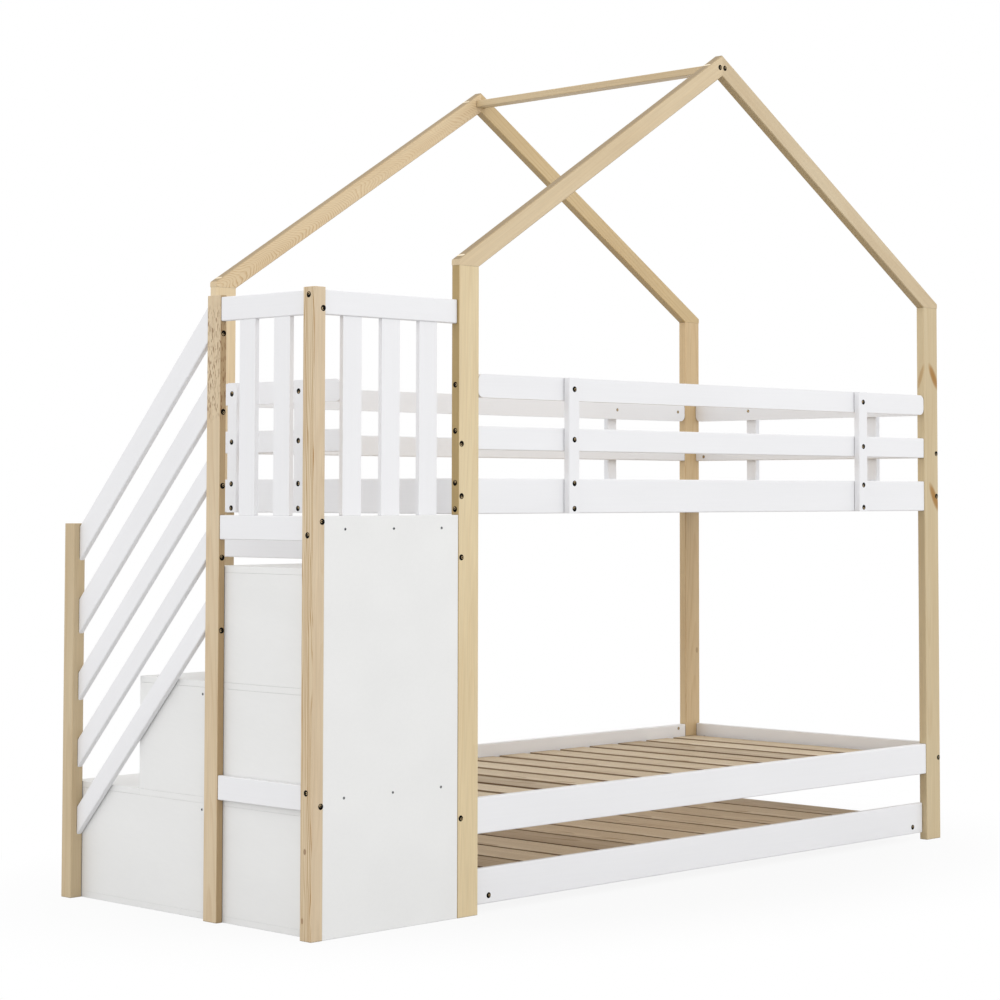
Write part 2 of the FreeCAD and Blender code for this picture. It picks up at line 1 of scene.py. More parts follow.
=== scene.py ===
"""House bunk bed: finishes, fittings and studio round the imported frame.

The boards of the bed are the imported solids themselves, with softened edges and the finish of the
real material. The fittings that are too small for the solids, such as bolts, barrel nuts, screws
and tyres, are made here and ride on the body that carries them. Metres, in the frame of the solids:
X along the bed away from the stair, Y from front to back, Z up.
"""

import math

import bmesh
import bpy
from bpy.props import FloatProperty, FloatVectorProperty, PointerProperty
from mathutils import Matrix, Vector


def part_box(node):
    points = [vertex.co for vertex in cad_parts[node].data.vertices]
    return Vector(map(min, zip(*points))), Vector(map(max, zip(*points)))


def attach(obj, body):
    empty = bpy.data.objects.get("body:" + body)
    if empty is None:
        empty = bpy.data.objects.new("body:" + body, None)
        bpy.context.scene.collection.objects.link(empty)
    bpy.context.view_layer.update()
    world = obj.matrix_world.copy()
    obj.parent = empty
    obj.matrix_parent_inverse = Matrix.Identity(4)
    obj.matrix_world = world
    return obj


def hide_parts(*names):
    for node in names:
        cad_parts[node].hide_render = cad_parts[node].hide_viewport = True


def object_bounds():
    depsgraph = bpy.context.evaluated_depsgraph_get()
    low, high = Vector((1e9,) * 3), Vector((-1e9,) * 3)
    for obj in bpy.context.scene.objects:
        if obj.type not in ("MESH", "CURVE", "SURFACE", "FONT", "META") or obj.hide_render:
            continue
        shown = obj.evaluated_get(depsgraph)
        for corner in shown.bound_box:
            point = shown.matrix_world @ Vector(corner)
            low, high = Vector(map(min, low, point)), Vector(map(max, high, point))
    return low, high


bl_info = {
    "name": "House bunk bed",
    "version": (1, 0, 0),
    "blender": (4, 5, 0),
    "location": "View3D > Sidebar > Bunk bed",
    "description": "Finishes, fittings and studio of a bunk bed with a roof, a stair and a low bed",
    "category": "Object",
}

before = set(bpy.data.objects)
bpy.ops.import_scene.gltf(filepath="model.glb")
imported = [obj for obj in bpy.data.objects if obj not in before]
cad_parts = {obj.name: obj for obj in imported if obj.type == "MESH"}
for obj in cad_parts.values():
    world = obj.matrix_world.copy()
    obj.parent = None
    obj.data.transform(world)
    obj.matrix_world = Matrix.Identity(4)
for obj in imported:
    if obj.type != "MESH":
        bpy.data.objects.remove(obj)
CAD_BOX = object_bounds()

MM = 0.001
LENGTHWISE = Vector((1, 0, 0))
CROSSWISE = Vector((0, 1, 0))


def linear(code):
    """The linear colour of an sRGB hex code."""
    parts = [int(code[index:index + 2], 16) / 255 for index in (1, 3, 5)]
    return tuple(c / 12.92 if c <= 0.04045 else ((c + 0.055) / 1.055) ** 2.4 for c in parts)


def low(node):
    """A node's lowest corner."""
    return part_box(node)[0]


def high(node):
    """A node's highest corner."""
    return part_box(node)[1]


def middle(node):
    """The middle of a node's box."""
    return (low(node) + high(node)) / 2


# Settings that a user would change


def tint(name, description, code):
    """A colour setting with an sRGB hex code as its default."""
    return FloatVectorProperty(
        name=name, description=description, subtype="COLOR", size=3, min=0, max=1, default=linear(code)
    )


def amount(name, description, default, **more):
    """A number setting that isn't negative."""
    return FloatProperty(name=name, description=description, default=default, **{"min": 0, **more})


def length(name, description, millimetres):
    """A length setting with its default in millimetres."""
    return amount(name, description, millimetres * MM, unit="LENGTH")


class BunkFinishes(bpy.types.PropertyGroup):
    """Colours of the bed's materials."""

    pine_light: tint("Pine, light", "Early wood of the lacquered pine boards", "#E3D0AD")
    pine_dark: tint("Pine, dark", "Late wood of the lacquered pine boards", "#B98F57")
    knot: tint("Knot", "Round knots and flecks in the pine", "#74491A")
    spike: tint("Spike knot", "Long knots that the saw cut lengthwise, and brown rings", "#9E6E1E")
    slat_light: tint("Slat, light", "Early wood of the bare slats", "#DFCFB4")
    slat_dark: tint("Slat, dark", "Late wood of the bare slats", "#A98B62")
    paint: tint("Paint", "White satin paint on the rails", "#ECECEE")
    board: tint("Board", "White paint on the stair's fibreboard", "#E9E9E8")
    bronze: tint("Bronzed steel", "Heads of the bolts and barrel nuts", "#D6BC92")
    # The near-black of the fittings' rims, sockets, slots and recesses is painted shade
    shade: tint("Blackened steel", "Rims and sockets of the bolts, barrel nuts and screws", "#0F0C09")
    zinc: tint("Zinc", "Axles and panel screws", "#B4B6B8")
    plastic: tint("Plastic", "Wheels and their housings", "#2B2B2C")


class BunkFittings(bpy.types.PropertyGroup):
    """Sizes of edges, fittings and grain."""

    edge_round: length("Edge round", "Radius that softens every edge of the boards", 1.0)
    ring_width: length("Ring width", "Width of a growth ring in the bare pine", 4.2)
    bolt_radius: length("Bolt radius", "Radius of a bolt's counterbore", 7.4)
    bolt_proud: length("Bolt proud", "How far a bolt's head stands out of the wood", 0.9)
    socket: length("Socket", "Width of the hexagon socket across its flats", 4.0)
    nut_radius: length("Nut radius", "Radius of a barrel nut's end", 5.0)
    screw_radius: length("Screw radius", "Radius of a panel screw's head", 3.6)


class BunkStudio(bpy.types.PropertyGroup):
    """Light, floor and camera."""

    sky: amount("Sky", "Even light from all round", 1.44)
    zenith: amount("Zenith", "Light from straight above", 0.97)
    key: amount("Key", "Power of the soft lamp in front", 44, unit="POWER")
    fill: amount("Fill", "Power of the soft lamp at the left", 14, unit="POWER")
    under: amount("Under", "Power of the lamp under the bunk", 1.2, unit="POWER")
    shadow: amount("Shadow", "How much of the floor's own shading shows", 0.1, max=1, subtype="FACTOR")
    floor: tint("Floor", "Plain pale floor", "#C4C4C4")
    lens: amount("Lens", "Focal length in millimetres", 90.975, min=1)


# Materials


def add_node(tree, kind, inputs=(), stops=(), **settings):
    """Adds a node, sets it up, and links or fills its inputs.

    inputs has them by name or number, or as a list in their own order: for a map range the value, the
    range that it has and the range that it gets. A node among them gives its first output in use.
    """
    made = tree.nodes.new(kind)
    for key, value in settings.items():
        setattr(made, key, value)
    for key, value in inputs.items() if isinstance(inputs, dict) else enumerate(inputs):
        if isinstance(value, bpy.types.Node):
            value = next(output for output in value.outputs if output.enabled)
        if isinstance(value, bpy.types.NodeSocket):
            tree.links.new(value, made.inputs[key])
        else:
            made.inputs[key].default_value = value
    for index, (place, colour) in enumerate(stops):
        elements = made.color_ramp.elements
        stop = elements[index] if index < len(elements) else elements.new(place)
        stop.position = place
        stop.color = (*colour, 1)
    return made


def new_material(name):
    """An empty material, its node tree and the object's coordinates."""
    material = bpy.data.materials.new(name)
    material.use_nodes = True
    tree = material.node_tree
    tree.nodes.clear()
    return material, tree, add_node(tree, "ShaderNodeTexCoord").outputs["Object"]


def grey(level):
    """A grey of that linear level."""
    return (level, level, level)


def shaded(colour, tone):
    """A colour times a tone, part by part."""
    return tuple(c * t for c, t in zip(colour, tone))


def faded(light, dark, share):
    """The light colour, turned that share of the way to the dark one."""
    return tuple(a + (b - a) * share for a, b in zip(light, dark))


# Rings of Blender's wave texture lie 2 pi / 20 apart at a scale of 1
RING_AT_SCALE_ONE = 2 * math.pi / 20

# How far the grain of a row's boards may shift, in metres
BAY_SHIFT = (0.09, 2.0, 0.06)


def grain_frame(tree, place, along, pith, bays=None):
    """Coordinates round a board's pith, with Z along its grain.

    bays is the start and pitch of equal bays along X, for a row of boards that each get a grain
    of their own. Returns the coordinates and a random value for each bay.
    """
    chance = None
    if bays:
        start, pitch = bays
        split = add_node(tree, "ShaderNodeSeparateXYZ", [place]).outputs
        count = add_node(tree, "ShaderNodeMath", [split[0], start], operation="SUBTRACT")
        count = add_node(tree, "ShaderNodeMath", [count, pitch], operation="DIVIDE")
        bay = add_node(tree, "ShaderNodeMath", [count], operation="FLOOR")
        chance = add_node(tree, "ShaderNodeTexWhiteNoise", {"W": bay}, noise_dimensions="1D")
        within = add_node(tree, "ShaderNodeMath", [count], operation="FRACT")
        within = add_node(tree, "ShaderNodeMath", [within, pitch, -pitch / 2], operation="MULTIPLY_ADD")
        local = add_node(tree, "ShaderNodeCombineXYZ", [within, split[1], split[2]])
        shift = [chance.outputs["Color"], BAY_SHIFT, local]
        place = add_node(tree, "ShaderNodeVectorMath", shift, operation="MULTIPLY_ADD")
    turn = Vector(along).to_track_quat("Z", "Y").to_euler()
    seat = {"Vector": place, "Location": pith, "Rotation": turn}
    return add_node(tree, "ShaderNodeMapping", seat, vector_type="TEXTURE"), chance


def stretched_noise(tree, coordinates, across, along, detail):
    """Noise whose features have those sizes in millimetres across and along the grain."""
    scale = (1 / (across * MM), 1 / (across * MM), 1 / (along * MM))
    scaled = add_node(tree, "ShaderNodeMapping", {"Vector": coordinates, "Scale": scale})
    return add_node(tree, "ShaderNodeTexNoise", {"Vector": scaled, "Scale": 1.0, "Detail": detail})


def growth_rings(tree, coordinates, ring_width, wander, sway, arch):
    """Rings round the pith that sway as a trunk's do, rising to the late wood and falling off sharply.

    wander is how far they sway, and sway the length of a bend across and along the grain. arch is the
    lean and the bow of the arches on a board that was cut flat through the rings.
    """
    drift = stretched_noise(tree, coordinates, *sway, 2.0)
    bend = [drift.outputs["Color"], (wander * MM, wander * MM, 0), coordinates]
    bent = add_node(tree, "ShaderNodeVectorMath", bend, operation="MULTIPLY_ADD")
    if arch:
        lean, bow = arch
        split = add_node(tree, "ShaderNodeSeparateXYZ", [bent]).outputs
        square = add_node(tree, "ShaderNodeMath", [split["Y"], split["Y"]], operation="MULTIPLY")
        arc = add_node(tree, "ShaderNodeMath", [square, bow, split["X"]], operation="MULTIPLY_ADD")
        arc = add_node(tree, "ShaderNodeMath", [split["Z"], lean, arc], operation="MULTIPLY_ADD")
        bent = add_node(tree, "ShaderNodeCombineXYZ", [arc])
    rings = add_node(
        tree,
        "ShaderNodeTexWave",
        {"Vector": bent, "Scale": RING_AT_SCALE_ONE / ring_width, "Distortion": 0.0},
        wave_type="BANDS" if arch else "RINGS",
        bands_direction="X",
        rings_direction="Z",
        wave_profile="SAW",
    )
    return rings.outputs["Fac"]


def faces_along(tree, way):
    """One on the faces of a board that look along a direction, and none on the others."""
    facing = [add_node(tree, "ShaderNodeTexCoord").outputs["Normal"], Vector(way).normalized()]
    facing = add_node(tree, "ShaderNodeVectorMath", facing, operation="DOT_PRODUCT")
    facing = add_node(tree, "ShaderNodeMath", [facing], operation="ABSOLUTE")
    return add_node(tree, "ShaderNodeMapRange", [facing, 0.6, 0.8])


def toned(tree, colour, pattern, *stops):
    """A colour multiplied by the tones that a pattern runs through."""
    tones = add_node(tree, "ShaderNodeValToRGB", {"Fac": pattern}, stops)
    both = {"Factor": 1.0, 6: colour, 7: tones}
    return add_node(tree, "ShaderNodeMix", both, data_type="RGBA", blend_type="MULTIPLY")


def with_painted_seam_shade(tree, colour, reach, depth, open_at=0.62):
    """Darkens a colour in the narrow seams between boards, where the boards hide each other's light:
    painted shade.

    reach is the seam's width in millimetres, open_at how open a place has to be to stay as it is.
    """
    near = add_node(tree, "ShaderNodeAmbientOcclusion", {"Distance": reach * MM}, samples=6)
    return toned(tree, colour, near.outputs["AO"], (0.25, grey(1 - depth)), (open_at, grey(1.0)))


def with_flecks(tree, colour, place, grain, band):
    """Draws short brown flecks over a colour, in a band between two heights."""
    brown = bpy.context.scene.bunk_finishes.knot
    spots = stretched_noise(tree, grain, 3.4, 15, 1.0)
    height = add_node(tree, "ShaderNodeSeparateXYZ", [place]).outputs["Z"]
    off = add_node(tree, "ShaderNodeMapRange", [height, *band, -1.0, 1.0], clamp=False)
    off = add_node(tree, "ShaderNodeMath", [off], operation="ABSOLUTE")
    weight = add_node(tree, "ShaderNodeMapRange", [off, 0.75, 1.0, 1.0, 0.0])
    dark = add_node(tree, "ShaderNodeValToRGB", {"Fac": spots}, ((0.54, grey(0.0)), (0.65, grey(0.72))))
    share = add_node(tree, "ShaderNodeMath", [dark, weight], operation="MULTIPLY")
    return add_node(tree, "ShaderNodeMix", {"Factor": share, 6: colour, 7: (*brown, 1)}, data_type="RGBA")


# Stain of a knot from its middle to its edge
ROUND_KNOT = ((0.0, 0.75), (0.4, 0.6), (0.55, 0.95), (0.7, 0.4), (1.0, 0.0))
LONG_KNOT = ((0.0, 1.0), (0.6, 0.85), (1.0, 0.0))


def with_knot(tree, colour, coordinates, knot):
    """Draws one knot over a colour: a dark core and rim inside an ellipsoid, and a stained edge.

    A long knot that the saw cut lengthwise has no rim, but an even stain that fades at its edge.
    """
    place, turn, half, depth = knot
    finishes = bpy.context.scene.bunk_finishes
    lengthwise = half[2] > 3 * half[0]
    brown = finishes.spike if lengthwise else finishes.knot
    stops = [(at, grey(share * depth)) for at, share in (LONG_KNOT if lengthwise else ROUND_KNOT)]
    seat = {"Vector": coordinates, "Location": place, "Rotation": turn, "Scale": half}
    local = add_node(tree, "ShaderNodeMapping", seat, vector_type="TEXTURE")
    reach = add_node(tree, "ShaderNodeVectorMath", [local], operation="LENGTH")
    stain = add_node(tree, "ShaderNodeValToRGB", {"Fac": reach}, stops)
    return add_node(tree, "ShaderNodeMix", {"Factor": stain, 6: colour, 7: (*brown, 1)}, data_type="RGBA")


def closed(material, colour, pattern, rough, constants, bump=None):
    """Closes a material with its colour, a roughness that follows a pattern, and the shader's constants.

    rough is the least and the most of the roughness, bump a strength, a height in millimetres and the
    pattern that is raised.
    """
    tree = material.node_tree
    rough = add_node(tree, "ShaderNodeMapRange", [pattern, 0.0, 1.0, *rough])
    inputs = {"Base Color": colour, "Roughness": rough, **constants}
    if bump:
        strength, height, raised = bump
        raised = {"Strength": strength, "Distance": height * MM, "Height": raised}
        inputs["Normal"] = add_node(tree, "ShaderNodeBump", raised)
    shader = add_node(tree, "ShaderNodeBsdfPrincipled", inputs)
    add_node(tree, "ShaderNodeOutputMaterial", {"Surface": shader})
    return material


def pine(name, light, dark, along, pith, ring_width, wander=16, sway=(90, 700), arch=None, late=0.5,
         sides=None, knots=(), flecks=None, bays=None, lacquer=True):
    """Planed pine, clear lacquered or bare.

    The eye gets pale early wood with thin darker late wood round the pith, fine fibres along the
    grain, a slow drift of tone, brown knots, and under lacquer a soft satin gloss. late is the share
    of a ring at which the late wood begins. The settings for faces that look one way give where they
    look, a painted shade that darkens them for the shade of the parts beside them, and the share of
    late wood that they show where the saw cut them another way through the rings.
    """
    material, tree, place = new_material(name)
    grain, chance = grain_frame(tree, place, along, pith, bays)
    rings = growth_rings(tree, grain, ring_width, wander, sway, arch)
    year = ((0.0, grey(0)), (late, grey(0)), (0.86, grey(1)), (0.95, grey(1)), (1.0, grey(0)))
    late_wood = add_node(tree, "ShaderNodeValToRGB", {"Fac": rings}, year)
    years = stretched_noise(tree, grain, 14, 900, 1.0)
    strength = add_node(tree, "ShaderNodeMapRange", [years, 0.35, 0.62, 0.3, 1.0])
    share = add_node(tree, "ShaderNodeMath", [late_wood, strength], operation="MULTIPLY")
    if sides:
        way, shade, shown = sides
        there = faces_along(tree, way)
        calm = add_node(tree, "ShaderNodeMapRange", [there, 0.0, 1.0, 1.0, shown])
        share = add_node(tree, "ShaderNodeMath", [share, calm], operation="MULTIPLY")
    woods = {"Factor": share, 6: (*light, 1), 7: (*dark, 1)}
    colour = add_node(tree, "ShaderNodeMix", woods, data_type="RGBA")
    # Painted shade on the faces that look that way
    if sides:
        both = {"Factor": there, 6: colour, 7: (*shade, 1)}
        colour = add_node(tree, "ShaderNodeMix", both, data_type="RGBA", blend_type="MULTIPLY")
    # Fibres are far finer than this, and are drawn as coarse as they need to show
    fibre = stretched_noise(tree, grain, 3.5, 160, 4.0)
    colour = toned(tree, colour, fibre, (0.3, grey(0.92)), (0.7, grey(1.02)))
    drift = stretched_noise(tree, grain, 60, 420, 2.0)
    colour = toned(tree, colour, drift, (0.3, (0.93, 0.90, 0.86)), (0.7, grey(1.0)))
    if chance:
        lots = ((0.0, (0.70, 0.66, 0.62)), (0.45, (0.9, 0.88, 0.86)), (1.0, (1.04, 1.05, 1.07)))
        colour = toned(tree, colour, chance, *lots)
    for knot in knots:
        colour = with_knot(tree, colour, place, knot)
    if flecks:
        colour = with_flecks(tree, colour, place, grain, flecks)
    # Painted shade in the seams and where the boards meet other parts
    colour = with_painted_seam_shade(tree, colour, 4.5, 0.7, 0.8)
    constants = {"IOR": 1.5, "Specular IOR Level": 0.4, "Coat Roughness": 0.32}
    constants["Coat Weight"] = 0.08 if lacquer else 0.0
    rough = (0.42, 0.54) if lacquer else (0.6, 0.75)
    return closed(material, colour, fibre, rough, constants, bump=(0.25 if lacquer else 0.5, 0.1, fibre))


def satin_paint(name, colour, along, fine):
    """White satin paint, sprayed on planed pine or on fibreboard.

    The eye gets an even white with a soft sheen. On pine the raised grain shows faintly as long
    lines, on fibreboard there is only the fine ripple of the spray. fine is their width in millimetres,
    and both are drawn coarser than they are, so that they show.
    """
    material, tree, place = new_material(name)
    grain, _ = grain_frame(tree, place, along, (0, 0, 0))
    lines = stretched_noise(tree, grain, fine, fine * 40, 3.0)
    drift = stretched_noise(tree, grain, 140, 500, 1.0)
    stops = ((0.3, shaded(colour, grey(0.975))), (0.7, colour))
    base = add_node(tree, "ShaderNodeValToRGB", {"Fac": drift}, stops)
    base = toned(tree, base, lines, (0.25, grey(0.985)), (0.75, grey(1.0)))
    # Painted shade in the seams and where the boards meet other parts
    base = with_painted_seam_shade(tree, base, 3.0, 0.35)
    return closed(material, base, lines, (0.36, 0.46), {"IOR": 1.48}, bump=(0.2, 0.08, lines))


def plated_steel(name, colour, roughness, grain):
    """Plated steel, turned or pressed.

    The eye gets a dull metal with small clouds in its plating. grain is their size in millimetres,
    drawn coarser than it is, so that they show.
    """
    material, tree, place = new_material(name)
    cloud = stretched_noise(tree, place, grain, grain, 3.0)
    stops = ((0.3, shaded(colour, grey(0.72))), (0.7, colour))
    tones = add_node(tree, "ShaderNodeValToRGB", {"Fac": cloud}, stops)
    return closed(material, tones, cloud, (roughness - 0.06, roughness + 0.1), {"Metallic": 1.0})


def moulded_plastic(name, colour, roughness):
    """Moulded polypropylene.

    The eye gets a soft dark sheen over a fine eroded texture, drawn coarser than it is, so that it
    shows, with paler scuffs.
    """
    material, tree, place = new_material(name)
    texture = stretched_noise(tree, place, 0.8, 0.8, 2.0)
    scuff = stretched_noise(tree, place, 9, 9, 3.0)
    stops = ((0.35, colour), (0.75, shaded(colour, grey(1.5))))
    tones = add_node(tree, "ShaderNodeValToRGB", {"Fac": scuff}, stops)
    rough = (roughness - 0.05, roughness + 0.1)
    return closed(material, tones, scuff, rough, {"IOR": 1.49}, bump=(0.3, 0.05, texture))


def shared(name, make, *settings, **more):
    """A material by name, made the first time that it is asked for."""
    return bpy.data.materials.get(name) or make(name, *settings, **more)


def bronzed():
    """The bronzed plating of the bolts and nuts, and a near-black steel whose colour is painted shade in
    their rims and sockets.
    """
    finishes = bpy.context.scene.bunk_finishes
    return (
        shared("bronzed_steel_plating", plated_steel, finishes.bronze, 0.36, 2),
        shared("blackened_steel_plating", plated_steel, finishes.shade, 0.5, 2),
    )


def zinc_plated():
    """The zinc plating of the axles and screws, and the near-black steel whose colour is painted shade in
    the screws' recesses.
    """
    zinc = bpy.context.scene.bunk_finishes.zinc
    return shared("zinc_plated_steel", plated_steel, zinc, 0.34, 3), bronzed()[1]


# Dressing the solids


def dress(node, material, soften=True):
    """Gives a solid its material and softens its edges."""
    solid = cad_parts[node]
    for entry in solid.material_slots:
        entry.material = material
    if soften:
        joined = solid.modifiers.new("join_corners", "WELD")
        joined.merge_threshold = 0.01 * MM
        edges = solid.modifiers.new("soft_edges", "BEVEL")
        edges.width = bpy.context.scene.bunk_fittings.edge_round
        edges.segments = 2
        edges.limit_method = "ANGLE"
        edges.angle_limit = math.radians(25)


def placed(name, data, place=(0, 0, 0)):
    """Adds an object with its data to the scene."""
    held = bpy.data.objects.new(name, data)
    held.location = place
    bpy.context.scene.collection.objects.link(held)
    return held


# Shapes of the fittings


def ring(reach, height, off=0.0, count=24):
    """Points of a ring at a height, moved off along its own X. reach gives the radius at an angle."""
    angles = [2 * math.pi * index / count for index in range(count)]
    return [(reach(a) * math.cos(a) + off, reach(a) * math.sin(a), height) for a in angles]


def circle(radius, height, off=0.0, count=24):
    """Points of a circle."""
    return ring(lambda angle: radius, height, off, count)


def hexagon(flats, height, off=0.0):
    """Points of a hexagon that is as wide across its flats."""
    sixth = math.pi / 3
    return ring(lambda angle: flats / 2 / math.cos((angle + sixth / 2) % sixth - sixth / 2), height, off)


def cross(arm, width, height):
    """Points of a cross recess, from the length and width of its arms."""
    quarter = math.pi / 2

    def reach(angle):
        turn = abs((angle + quarter / 2) % quarter - quarter / 2)
        return min(arm / math.cos(turn), width / 2 / max(math.sin(turn), 1e-6))

    return ring(reach, height)


def oval(long_half, radius, height):
    """Points of a slot with round ends, lengthwise along its own X."""
    points = []
    for x, y, z in circle(radius, height):
        points.append((x + math.copysign(long_half, x) if abs(x) > 1e-9 else x, y, z))
    return points


def skinned(name, stacks, materials, body, hollow=False):
    """Skins stacks of rings as one piece, which rides on the body that carries it.

    A stack is its seat and its rings, each with the material's place for the band above it. The last
    ring's place is for the end face. Both ends are closed, or joined with each other if hollow.
    """
    shell = bmesh.new()
    for seat, rings in stacks:
        rows = [[shell.verts.new(seat @ Vector(point)) for point in points] for points, _ in rings]
        finishes = [finish for _, finish in rings]
        for below, above, finish in zip(rows, rows[1:] + rows[:1] * hollow, finishes):
            for index in range(len(below)):
                following = (index + 1) % len(below)
                face = shell.faces.new((below[index], below[following], above[following], above[index]))
                face.material_index = finish
        if not hollow:
            shell.faces.new(rows[0][::-1])
            shell.faces.new(rows[-1]).material_index = finishes[-1]
    mesh = bpy.data.meshes.new(name)
    shell.to_mesh(mesh)
    shell.free()
    for material in materials:
        mesh.materials.append(material)
    made = placed(name, mesh)
    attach(made, body)
    return made


def seat_on(place, outwards, spin=0.0):
    """The frame of a fitting that sits at a place and faces outwards."""
    turned = Vector(outwards).to_track_quat("Z", "Y").to_matrix().to_4x4()
    turned.translation = place
    return turned @ Matrix.Rotation(spin, 4, "Z")


# Turn from one fitting to the next, in radians
SPIN = 0.7


def fittings(name, places, shape, materials, body="bed_frame", spun=True):
    """Makes like fittings as one piece: each place is a point and the way that it faces.

    Each next fitting is turned a little further, as hand-driven ones are.
    """
    stacks = []
    for index, (place, outwards) in enumerate(places):
        seat = seat_on(place, outwards, spin=SPIN * index if spun else 0.0)
        stacks += [(seat, part) for part in shape()]
    return skinned(name, stacks, materials, body)


# Places of a fitting's materials: the metal, and the near-black steel that is painted shade
BRIGHT, PAINTED_SHADE = 0, 1

# How far a fitting goes into the wood, how far its rim stands out, and the floor of its recess
SUNK, RIM, FLOOR = -0.3 * MM, 0.25 * MM, 0.1 * MM


def bolt_head():
    """A bolt a little off the middle of its counterbore: a bronzed head with a hexagon socket, in a
    near-black rim; the rim and socket are painted shade.
    """
    sizes = bpy.context.scene.bunk_fittings
    radius, top, socket = sizes.bolt_radius, sizes.bolt_proud, sizes.socket
    off = radius * 0.34
    return [[
        (circle(radius, SUNK), PAINTED_SHADE),
        (circle(radius, RIM), PAINTED_SHADE),
        (circle(radius * 0.46, RIM, off), PAINTED_SHADE),
        (circle(radius * 0.44, FLOOR, off), BRIGHT),
        (circle(radius * 0.42, top * 0.6, off), BRIGHT),
        (circle(radius * 0.38, top, off), BRIGHT),
        (hexagon(socket, top, off * 0.75), PAINTED_SHADE),
        (hexagon(socket * 0.94, FLOOR, off * 0.75), PAINTED_SHADE),
    ]]


def nut_end():
    """The end of a barrel nut: two half discs on a near-black base, painted shade that shows in the
    screwdriver slot between them.
    """
    radius = bpy.context.scene.bunk_fittings.nut_radius
    disc, top, points = radius * 0.86, 0.5 * MM, 12
    slot_half = 0.16
    start = math.asin(slot_half)
    step = (math.pi - 2 * start) / (points - 1)
    halves = []
    for side in (0.0, math.pi):
        arc = [side + start + step * index for index in range(points)]
        outline = [(disc * math.cos(a), disc * math.sin(a)) for a in arc]
        halves.append([([(x, y, level) for x, y in outline], BRIGHT) for level in (FLOOR, top)])
    return [[(circle(radius, SUNK), PAINTED_SHADE), (circle(radius, FLOOR), PAINTED_SHADE)], *halves]


def screw_head():
    """A low domed screw head with a cross recess."""
    radius = bpy.context.scene.bunk_fittings.screw_radius
    return [[
        (circle(radius, SUNK), BRIGHT),
        (circle(radius, 0.3 * MM), BRIGHT),
        (circle(radius * 0.8, 0.9 * MM), BRIGHT),
        # Painted shade in the cross recess
        (cross(radius * 0.78, radius * 0.55, 0.95 * MM), PAINTED_SHADE),
        (cross(radius * 0.7, radius * 0.45, 0.2 * MM), PAINTED_SHADE),
    ]]


def screw_pocket():
    """The mouth of a slanting screw pocket: a shallow oval of raw wood."""
    long_half, radius = 8 * MM, 4.5 * MM
    return [[
        (oval(long_half, radius, SUNK), BRIGHT),
        (oval(long_half, radius, RIM), BRIGHT),
        (oval(long_half, radius - 0.5 * MM, 0.3 * MM), BRIGHT),
        (oval(long_half, radius - 1.0 * MM, FLOOR), BRIGHT),
    ]]


# Places of the fittings, from the boards that they hold

FRONT_BACK = {"front": -1, "back": 1}
LEFT_RIGHT = {"left": -1, "right": 1}
LEVELS = ("upper", "lower")
GUARD_RAILS = ("top", "middle")
ROOF_PITCH = math.radians(32.2)

# Bolts from a main rail's middle, bolts that pass each other in a post, and nuts from a rail's end
BOLT_SPREAD, CROSSING, NUT_INSET = 33 * MM, 16 * MM, 34 * MM

# Front bolts from the corner post's right edge
CORNER_INSET = 8 * MM

# Along a rafter's upper edge from the eave to the ridge
POCKET_SHARES = (0.018, 0.95)

# In millimetres: half a rail of the platform's side guard, and its second rail below its top
GUARD_HALF, GUARD_DROP = 30, 570

# In millimetres: bolts below the banister's top at the middle post, and the boards' fall to the newel
BANISTER_BOLTS, BANISTER_FALL = (70, 265, 448, 625, 804), 551

# In millimetres: columns of screws from the front panel's left edge, rows below its top and above its foot
SCREW_COLUMNS, SCREW_DROP, SCREW_RISE = (66, 223, 383), 32, 328

# In millimetres: screws above the floor and behind the middle post
SIDE_SCREWS, SIDE_SCREW_INSET = (268, 553), 31


def rail_heights(side):
    """Bolt heights at the ends of a long side's rails."""
    heights = [middle(f"{side}_guard_top_rail").z, middle(f"{side}_guard_middle_rail").z + CROSSING]
    for level in LEVELS:
        rail = middle(f"{level}_{side}_rail").z
        heights += [rail + BOLT_SPREAD, rail - BOLT_SPREAD]
    return heights


def end_rail_heights(end):
    """Bolt heights at the ends of a short side's rails."""
    heights = [middle(f"{end}_guard_middle_rail").z - CROSSING]
    heights += [middle(f"{level}_{end}_end_rail").z for level in LEVELS]
    if end == "left":
        heights.append(middle("platform_bearer_rail").z - CROSSING)
    return heights


def outer(node, axis, sign):
    """Where a node's face lies that looks along an axis, forwards or backwards."""
    return (high(node) if sign > 0 else low(node))[axis]


def post_bolt_places():
    """Bolts in the side faces of the four posts, and in their front or back faces."""
    places = []
    for side, forward in FRONT_BACK.items():
        for end, sideways in LEFT_RIGHT.items():
            post = f"{side}_{end}_post"
            x, y = outer(post, 0, sideways), outer(post, 1, forward)
            for z in rail_heights(side):
                places.append(((x, middle(post).y, z), LENGTHWISE * sideways))
            across = middle(f"upper_{end}_end_rail").x
            for z in end_rail_heights(end):
                places.append(((across, y, z), CROSSWISE * forward))
    return places


